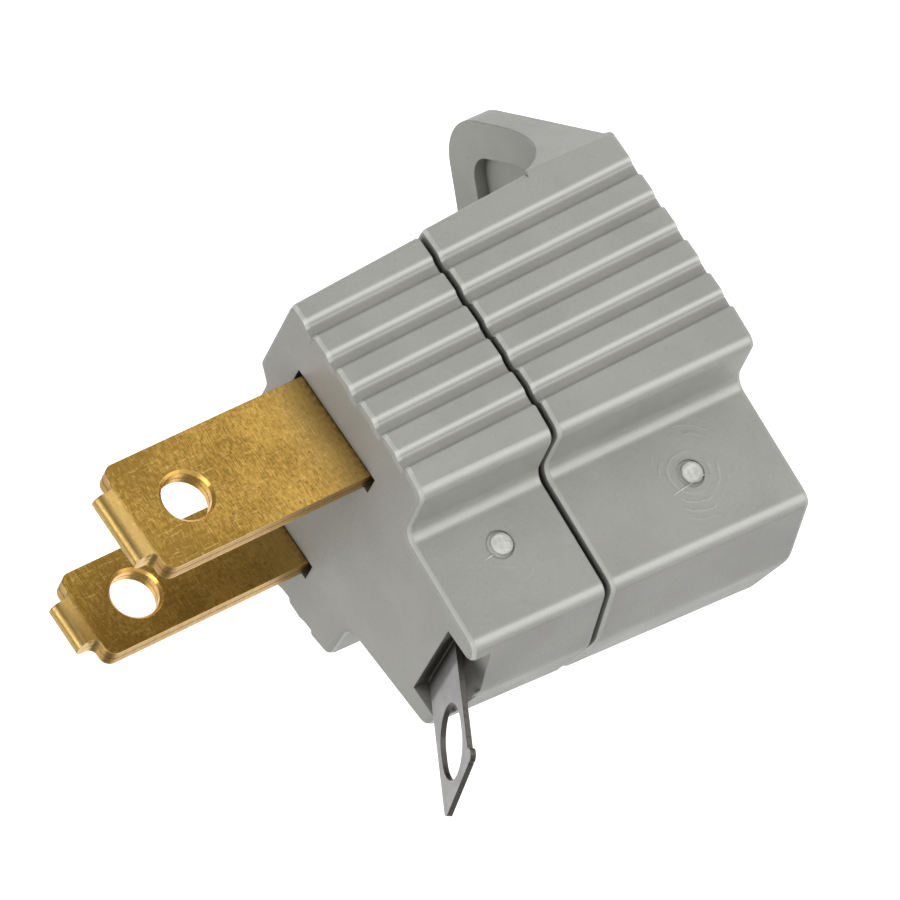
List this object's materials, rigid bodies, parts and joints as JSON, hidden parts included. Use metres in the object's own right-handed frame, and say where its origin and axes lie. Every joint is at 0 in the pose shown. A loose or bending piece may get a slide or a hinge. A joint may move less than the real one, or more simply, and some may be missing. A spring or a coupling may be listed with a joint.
{
  "type": "grounding plug adapter",
  "caption": "Grounding plug adapter: grounded socket with a finger grip on one side, polarised flat-blade plug and bent screw tab on the other.",
  "frame": {"origin": "on the socket face, midway between the two line slots", "axes": "+Z from the socket face towards the blade tips, +Y from the ground hole towards the finger grip, +X towards the wide neutral blade"},
  "size_m": [0.0238, 0.0404, 0.043],
  "materials": {
    "grey_plastic": "satin moulded",
    "brass": "rolled, fine cross grain",
    "steel": "satin plated"
  },
  "bodies": {
    "root": {"front_housing": "grey_plastic", "rear_housing": "grey_plastic", "wide_blade_contact": "brass", "narrow_blade_contact": "brass", "ground_strip": "steel"}
  },
  "joints": []
}
